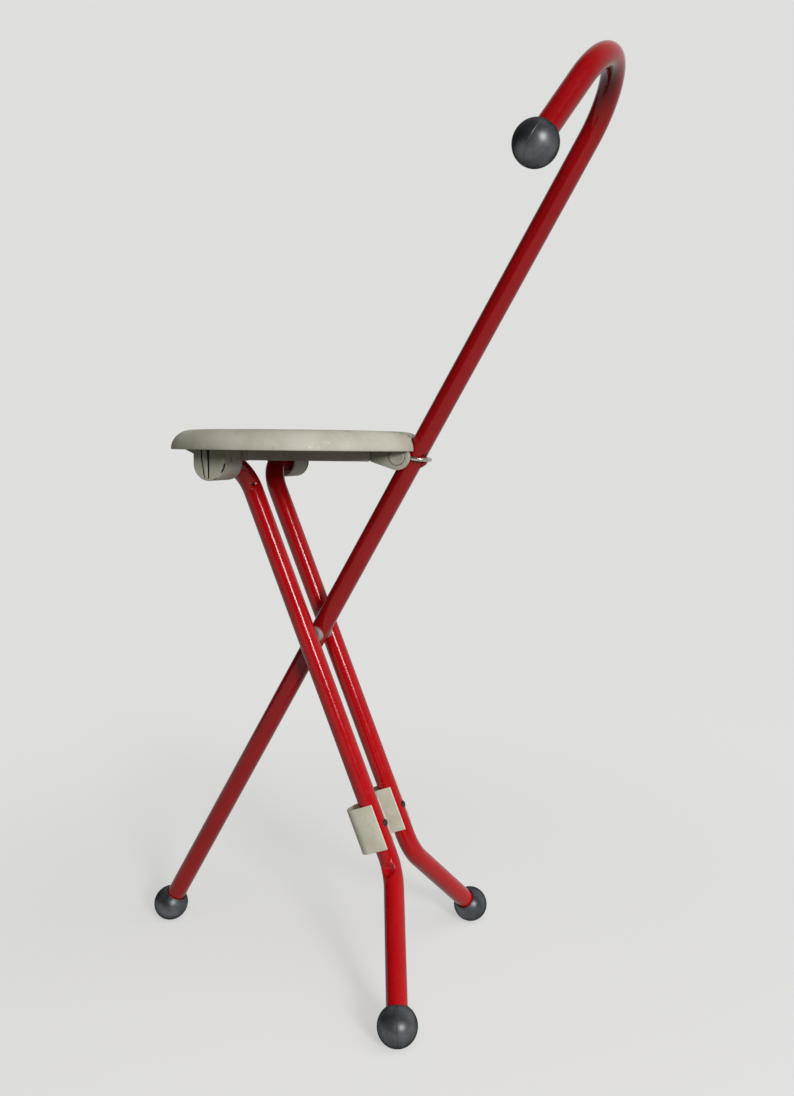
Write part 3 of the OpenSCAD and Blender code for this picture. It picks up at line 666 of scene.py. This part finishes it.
# Faces marked in the recesses, the cap's grooves, the pry slits and the ring round each fork plug, get
# painted shade: near black.
recess_shade = add(seat_greige, "ShaderNodeAttribute", attribute_name="recess_shade").outputs["Fac"]
feed(seat_greige, Base_Color=blend(seat_greige, recess_shade, scraped, tone(34, 27, 20)))
feed(seat_greige, Roughness=rescale(seat_greige, stain, 0.3, 0.7, 0.5, 0.68))
pebble = add(seat_greige, "ShaderNodeTexVoronoi", {"Vector": spot, "Scale": 900}).outputs["Distance"]
feed(seat_greige, Normal=relief(seat_greige, pebble, 0.00018, 0.35))


def shoulder(outer, width, low, high):
    """A quarter ellipse from the rim's band up to the seat's top."""
    return [(outer - width * (1 - cos(a)), 0, low + (high - low) * sin(a)) for a in turns(0, 90, 16)]


top_line = [(0, 0, flat_z), (flat_r - 0.002, 0, flat_z), (flat_r, 0, flat_z + 0.00012),
            (dish_r, 0, dish_z), (crown_r, 0, seat_t)]
outer_edge = shoulder(seat_r, shoulder_w, rim_band, seat_t)[::-1]
rim_foot = [(seat_r - 0.00012, 0, 0.0002), (seat_r - 0.0005, 0, 0), (seat_r - rim_wall + 0.0004, 0, 0)]
inner_edge = shoulder(seat_r - rim_wall, shoulder_w - rim_wall, rim_band, plate_low)
seat = drawn("seat_greige", top_line + outer_edge + rim_foot + inner_edge + [(0, 0, plate_low)])
bpy.ops.mesh.select_all(action="SELECT")
bpy.ops.mesh.spin(steps=160, angle=2 * pi, center=(0, 0, 0), axis=(0, 0, 1))
bpy.ops.mesh.select_all(action="SELECT")
bpy.ops.mesh.remove_doubles(threshold=0.00002)
face_outwards()

slant = Matrix.Translation((cane_x, 0, 0)) @ cane_lean
groove = plate("groove", [(groove_out, notch_r, -groove_len / 2)] + [
    (notch_r * cos(a), notch_r * sin(a), -groove_len / 2) for a in turns(90, 270, 32)] + [
    (groove_out, -notch_r, -groove_len / 2)], (0, 0, groove_len))
put(groove, slant)
cut(seat, groove)


def on_scallop(corner):
    """Whether a corner of the seat lies on the wall of the scallop."""
    place = slant.inverted() @ corner.co
    off_wall = min(abs(place.xy.length - notch_r), abs(abs(place.y) - notch_r))
    return off_wall < 4e-5 and (corner.co - Vector((seat_r, 0, 0.008))).length < 0.03


bpy.ops.object.mode_set(mode="EDIT")
mesh = bmesh.from_edit_mesh(seat.data)
bpy.ops.mesh.select_mode(type="EDGE")
bpy.ops.mesh.select_all(action="DESELECT")
for edge in mesh.edges:
    sharp = len(edge.link_faces) == 2 and edge.calc_face_angle(0) > radians(30)
    if sharp and all(on_scallop(corner) for corner in edge.verts):
        edge.select_set(True)
bmesh.update_edit_mesh(seat.data)
bpy.ops.mesh.bevel(offset=0.0007, segments=3, affect="EDGES")
bpy.ops.mesh.select_mode(type="VERT")
put(seat, seat_place)

# Under the seat: ring ribs, radial ribs, bosses for the screws, a lining round the
# scallop, and two side rails that start at square posts, all moulded with the seat.
rib_t, rib_up, ring_radii, rib_count = 0.0022, 0.006, (0.040, 0.084), 12
drum_x, screw_x, screw_y = -0.0499, 0.0222, 0.0735
rail_ends = ((-0.0334, -0.0552), (0.0842, -0.0209))
rail_t, rail_up, rail_drop = 0.003, 0.0155, 0.010
boss_r, boss_low, plug_in = 0.00425, 0.0045, 0.016
boss_spots = [(drum_x - screw_x, screw_y), (drum_x + screw_x, screw_y), (0.0965, 0.02375)]
tongue_boss_x, spoke_out = 0.07655, 0.1225
post_x, post_y, post_z = 0.0188, 0.05635, -0.0044
post_size = (0.0055, 0.0053, 0.0122)
lining_r, lining_low, lining_top = notch_r + rib_t / 2, 0.0006, 0.0125


def boss(x, y):
    """A round boss that holds one screw."""
    return start("boss", bpy.ops.mesh.primitive_cylinder_add, vertices=32, radius=boss_r,
                 depth=plug_in - boss_low, location=(x, y, (plug_in + boss_low) / 2))


ribs = []
for ring_r in ring_radii:
    ring = start("ring", bpy.ops.mesh.primitive_circle_add, vertices=96, radius=ring_r,
                 location=(0, 0, rib_up))
    pull((0, 0, plug_in - rib_up))
    modify(ring, "SOLIDIFY", thickness=rib_t, offset=0)
    ribs.append(ring)
core = [(x + 0.001, rib_t / 2, z) for x, _, z in inner_edge if z > rib_up]
spoke = plate("spoke", [(ring_radii[0], rib_t / 2, plug_in - 0.001), (ring_radii[0], rib_t / 2, rib_up),
                        (spoke_out, rib_t / 2, rib_up)] + core, (0, -rib_t, 0))
bpy.ops.mesh.select_all(action="SELECT")
bpy.ops.transform.rotate(value=-pi / rib_count, orient_axis="Z", center_override=(0, 0, 0))
bpy.ops.mesh.spin(steps=rib_count, angle=2 * pi, center=(0, 0, 0), axis=(0, 0, 1), dupli=True)
bpy.ops.mesh.select_all(action="SELECT")
bpy.ops.mesh.remove_doubles(threshold=0.00001)
face_outwards()
ribs.append(spoke)
for side in (-1, 1):
    for boss_x, boss_y in boss_spots:
        ribs.append(boss(boss_x, side * boss_y))
    (front_x, front_y), (rear_x, rear_y) = rail_ends
    run = Vector((rear_x - front_x, rear_y - front_y, 0))
    rail = start("rail", bpy.ops.mesh.primitive_cube_add, size=1,
                 scale=(run.length, rail_t, rail_drop + rail_up))
    bpy.ops.mesh.bevel(offset=0.0006, segments=2, affect="EDGES")
    rail_mid = ((front_x + rear_x) / 2, side * -(front_y + rear_y) / 2, (rail_up - rail_drop) / 2)
    put(rail, Matrix.Translation(rail_mid) @ Matrix.Rotation(-side * run.y / run.length, 4, "Z"))
    ribs.append(rail)
    post = start("post", bpy.ops.mesh.primitive_cube_add, size=1,
                 location=(drum_x + post_x, side * post_y, post_z), scale=post_size)
    bpy.ops.mesh.bevel(offset=0.0005, segments=2, affect="EDGES")
    ribs.append(post)
ribs.append(boss(tongue_boss_x, 0))
lining = drawn("lining", [(0.001, lining_r, -0.02)] + [
    (lining_r * cos(a), lining_r * sin(a), -0.02) for a in turns(90, 270, 24)] + [(0.001, -lining_r, -0.02)])
bpy.ops.mesh.select_all(action="SELECT")
pull((0, 0, 0.05))
put(lining, slant)
bpy.ops.object.mode_set(mode="EDIT")
for height, side in ((lining_low, 1), (lining_top, -1)):
    bpy.ops.mesh.select_all(action="SELECT")
    bpy.ops.mesh.bisect(plane_co=(0, 0, height), plane_no=(0, 0, side), clear_inner=True)

# The lining's rear ends stay inside the seat's shoulder.
bpy.ops.mesh.select_all(action="SELECT")
bpy.ops.mesh.bisect(plane_co=(0.1196, 0, 0.0125), plane_no=(-0.95, 0, -0.32), clear_inner=True)
modify(lining, "SOLIDIFY", thickness=rib_t - 0.0002, offset=0)
ribs.append(lining)
under = ribs[0]
under.name = under.data.name = "seat_ribs"
weld(under, *ribs[1:])
put(under, seat_place)
dress(seat, "seat", "seat_plastic", seat_greige, "seat_shell")
dress(under, "seat", "seat_plastic", seat_greige, "seat_shell")


# Hinge housings: drums on mounting plates, of the seat's plastic and screwed under it.
# An end cap with an upright rib between two grooves closes each drum, and can be pried
# off at a slanted slit. The turned-out end of the leg turns in the drum.
hinge_z, drum_r, drum_wall = -0.0131, 0.0162, 0.0016
drum_in, drum_out, cap_t = 0.057, 0.08998, 0.002
drum_mid = -(drum_in + drum_out) / 2
cap_back = -drum_out - 0.00005
cap_face = cap_back - cap_t
base_up, base_top, base_reach = 0.0015, 0.0045, 0.012
gusset_root, gusset_tip = drum_x - drum_r + 0.0006, drum_x - drum_r - 0.029
gusset_low, gusset_t = -0.0005, 0.003
panel_y, panel_z = -0.0832, -0.0071
panel_size = (0.0018, 0.0128, 0.0110)
ridge_x, ridge_z = 0.0134, -0.0069
ridge_size = (0.0016, 0.0012, 0.0112)
slit_line = ((0.0136, -0.0878, 0.0004), (0.0136, -0.0909, 0.0004),
             (0.0109, -0.0918, -0.0084), (0.0109, -0.0901, -0.0084))
groove_lines = (((-0.0081, 0.0), (-0.0060, 0.0), (-0.0062, -0.0078),
                 (-0.0034, -0.0267), (-0.0046, -0.0265), (-0.0078, -0.0078)),
                ((-0.0015, 0.0), (0.0015, 0.0), (0.0014, -0.0080),
                 (0.0010, -0.0272), (-0.0005, -0.0272), (-0.0007, -0.0080)))
rib_line = ((-0.0061, -0.0003), (-0.0015, -0.0003), (-0.0008, -0.0080),
            (-0.0005, -0.0268), (-0.0035, -0.0264), (-0.0062, -0.0080))
groove_deep, rib_proud = 0.0013, 0.0007


def drum_outline(y, top):
    """The drum's outline: half a circle, with straight sides up to the seat."""
    return [(drum_x - drum_r, y, top)] + [
        (drum_x + drum_r * cos(a), y, hinge_z + drum_r * sin(a)) for a in turns(180, 360, 32)] + [
        (drum_x + drum_r, y, top)]


def drum_hollow():
    """The round space in which the end of the leg turns."""
    return start("hollow", bpy.ops.mesh.primitive_cylinder_add, vertices=64, radius=drum_r - drum_wall,
                 depth=0.05, rotation=(pi / 2, 0, 0), location=(drum_x, drum_mid, hinge_z))


def pry_slit():
    """The solid space of the slanted slit at the joint of drum and cap."""
    return plate("slit", [(drum_x + x, y, hinge_z + z) for x, y, z in slit_line], (0.007, 0, 0))


def paint_recess_shade(piece, wanted):
    """Marks the faces in recesses that get painted shade."""
    leave()
    for mark, face in zip(piece.data.attributes.new("recess_shade", "FLOAT", "FACE").data, piece.data.polygons):
        mark.value = wanted(face.center)


def in_slit(c):
    """Whether a face lies inside the slit."""
    return (abs(c.z - hinge_z + 0.004) < 0.0046 and c.x > drum_x + 0.010
            and cap_face + 0.0001 < c.y < -0.0874
            and Vector((c.x - drum_x, min(c.z - hinge_z, 0))).length < drum_r - 0.0002)


def in_groove(c):
    """Whether a face lies inside one of the cap's two grooves."""
    return (cap_face + 0.0001 < c.y < cap_back - 0.0002 and abs(c.x - drum_x) < 0.0085
            and hinge_z - 0.0150 < c.z < 0.0010)


drum = plate("hinge_housing_greige_near", drum_outline(-drum_in, base_top), (0, drum_in - drum_out, 0))
cut(drum, drum_hollow())
round_edges(drum, 0.0005, 3, 50)
panel = start("panel", bpy.ops.mesh.primitive_cube_add, size=1,
              location=(drum_x + drum_r, panel_y, panel_z), scale=panel_size)
cut(drum, panel)
cut(drum, pry_slit())
# The faces inside the pry slit get painted shade.
paint_recess_shade(drum, in_slit)
base = start("base", bpy.ops.mesh.primitive_cube_add, size=1,
             location=(drum_x, drum_mid, (base_up + base_top) / 2),
             scale=(2 * (drum_r + base_reach), drum_out - drum_in, base_top - base_up))
for side in (-1, 1):
    notch = start("notch", bpy.ops.mesh.primitive_cylinder_add, vertices=32, radius=0.0018, depth=0.01,
                  location=(drum_x + side * screw_x, -screw_y, base_up))
    cut(base, notch)
round_edges(base, 0.0005, 2, 50)
cut(base, drum_hollow())
gusset = plate("gusset", [
    (gusset_root, -drum_in, hinge_z), (gusset_tip, -drum_in, gusset_low),
    (gusset_tip, -drum_in, base_top), (gusset_root, -drum_in, base_top)], (0, -gusset_t, 0))
round_edges(gusset, 0.0004, 2, 40)
weld(drum, base, gusset)
put(drum, seat_place)
far_drum = far_twin(drum, "hinge_housing_greige_far")

cap = plate("hinge_cap_greige_near", drum_outline(cap_back, base_up), (0, -cap_t, 0))
round_edges(cap, 0.0013, 4, 50)
for line in groove_lines:
    outline = [(drum_x + x, cap_face - 0.001, z) for x, z in line]
    cut(cap, plate("groove", outline, (0, groove_deep + 0.001, 0)))
cut(cap, pry_slit())
# The faces inside the pry slit and the cap's two grooves get painted shade.
paint_recess_shade(cap, lambda c: in_slit(c) or in_groove(c))
rib = plate("rib", [(drum_x + x, cap_face + 0.001, z) for x, z in rib_line], (0, -rib_proud - 0.001, 0))
round_edges(rib, 0.0005, 3, 40)
ridge = start("ridge", bpy.ops.mesh.primitive_cube_add, size=1,
              location=(drum_x + ridge_x, cap_face + 0.0001, ridge_z), scale=ridge_size)
round_edges(ridge, 0.0004, 3, 40)
weld(cap, rib, ridge)
put(cap, seat_place)
far_cap = far_twin(cap, "hinge_cap_greige_far")
for piece, node in ((drum, "hinge_housing_near"), (far_drum, "hinge_housing_far"),
                    (cap, "hinge_cap_near"), (far_cap, "hinge_cap_far")):
    dress(piece, "seat", "seat_plastic", seat_greige, node)


# Fork: two cheeks beside the cane on one mounting plate with a tongue in front, of the
# seat's plastic and screwed under it. Round plugs close the holes in which the bail's
# pins turn.
fork_x, bail_z = 0.11125, -0.0052
cheek_in, cheek_out, cheek_r, fork_len = 0.015, 0.019, 0.0126, 0.0267
plug_r, plug_groove, plug_proud, plug_t = 0.0077, 0.0005, 0.0008, 0.0027
fork_front, fork_mid, fork_rear = fork_x - fork_len, fork_x - 0.010, fork_x + 0.0115
cheek_top, deck_z, deck_t = -0.00005, 0.003, 0.003

cheek = plate("fork_greige", [(fork_front, -cheek_in, deck_z), (fork_front, -cheek_in, -rail_drop)] + [
    (fork_x + cheek_r * cos(a), -cheek_in, bail_z + cheek_r * sin(a)) for a in turns(-107, 90, 30)
    if bail_z + cheek_r * sin(a) < -0.0001] + [
    (fork_rear, -cheek_in, cheek_top), (fork_mid, -cheek_in, cheek_top), (fork_mid, -cheek_in, deck_z)],
    (0, cheek_in - cheek_out, 0))
plug_hole = start("plug_hole", bpy.ops.mesh.primitive_cylinder_add, vertices=64, radius=plug_r + plug_groove,
                  depth=0.004, rotation=(pi / 2, 0, 0), location=(fork_x, -cheek_out, bail_z))
cut(cheek, plug_hole)
round_edges(cheek, 0.0004, 3, 40)
# The faces of the ring groove round the plug get painted shade.
paint_recess_shade(cheek, lambda c: -cheek_out + 0.0002 < c.y < -cheek_out + 0.0021
             and Vector((c.x - fork_x, c.z - bail_z)).length < plug_r + plug_groove + 0.0001)
twin = far_twin(cheek, "cheek", mirrored)
deck = start("deck", bpy.ops.mesh.primitive_cube_add, size=1, location=(fork_x - 0.01835, 0, deck_z),
             scale=(0.0167, 0.057, deck_t))
round_edges(deck, 0.0005, 2, 50)
tongue = start("tongue", bpy.ops.mesh.primitive_cube_add, size=1,
               location=(fork_front - 0.0058, 0, deck_z), scale=(0.0138, 0.0095, deck_t))
round_edges(tongue, 0.0005, 2, 50)
weld(cheek, twin, deck, tongue)
put(cheek, seat_place)
dress(cheek, "seat", "seat_plastic", seat_greige, "rear_fork")

plug = start("fork_plug_greige_near", bpy.ops.mesh.primitive_cylinder_add, vertices=64, radius=plug_r,
             depth=plug_t, rotation=(pi / 2, 0, 0),
             location=(fork_x, -cheek_out - plug_proud + plug_t / 2, bail_z))
pick(plug, lambda c: c.y < -cheek_out)
bpy.ops.mesh.inset(thickness=0.0024)
pull((0, 0.0003, 0))
round_edges(plug, 0.00035, 3, 50)
put(plug, seat_place)
far_plug = far_twin(plug, "fork_plug_greige_far")
dress(plug, "seat", "seat_plastic", seat_greige, "fork_plug_near")
dress(far_plug, "seat", "seat_plastic", seat_greige, "fork_plug_far")


# Bail: one bright steel wire, bent into a loop round the cane. Its ends are turned
# outwards, as pins that swing in the fork.
bail_tilt = cane_tilt - radians(23.8)
bail_place = Matrix.Translation((0.0434771, middle, 0.5222425)) @ Matrix.Rotation(bail_tilt, 4, "Y")
wire_r, corner_r, bail_reach, arm_y, pin_end = 0.002, 0.0024, 0.0266, 0.0125, 0.0182
bail = start("bail_steel", bpy.ops.mesh.primitive_circle_add, vertices=24, radius=wire_r,
             rotation=(pi / 2, 0, 0), location=(0, -pin_end, 0))
pull((0, pin_end - arm_y - corner_r, 0))
tube_bend(pi / 2, (corner_r, -arm_y - corner_r, 0), (0, 0, 1), 10)
pull((bail_reach - arm_y - corner_r, 0, 0))
tube_bend(pi, (bail_reach - arm_y, 0, 0), (0, 0, -1), 40)
pull((-(bail_reach - arm_y - corner_r), 0, 0))
tube_bend(pi / 2, (corner_r, arm_y + corner_r, 0), (0, 0, 1), 10)
pull((0, pin_end - arm_y - corner_r, 0))
close_ends()
put(bail, bail_place)
dress(bail, "bail", "bright_steel", bright_steel, "bail_wire", angle=40)
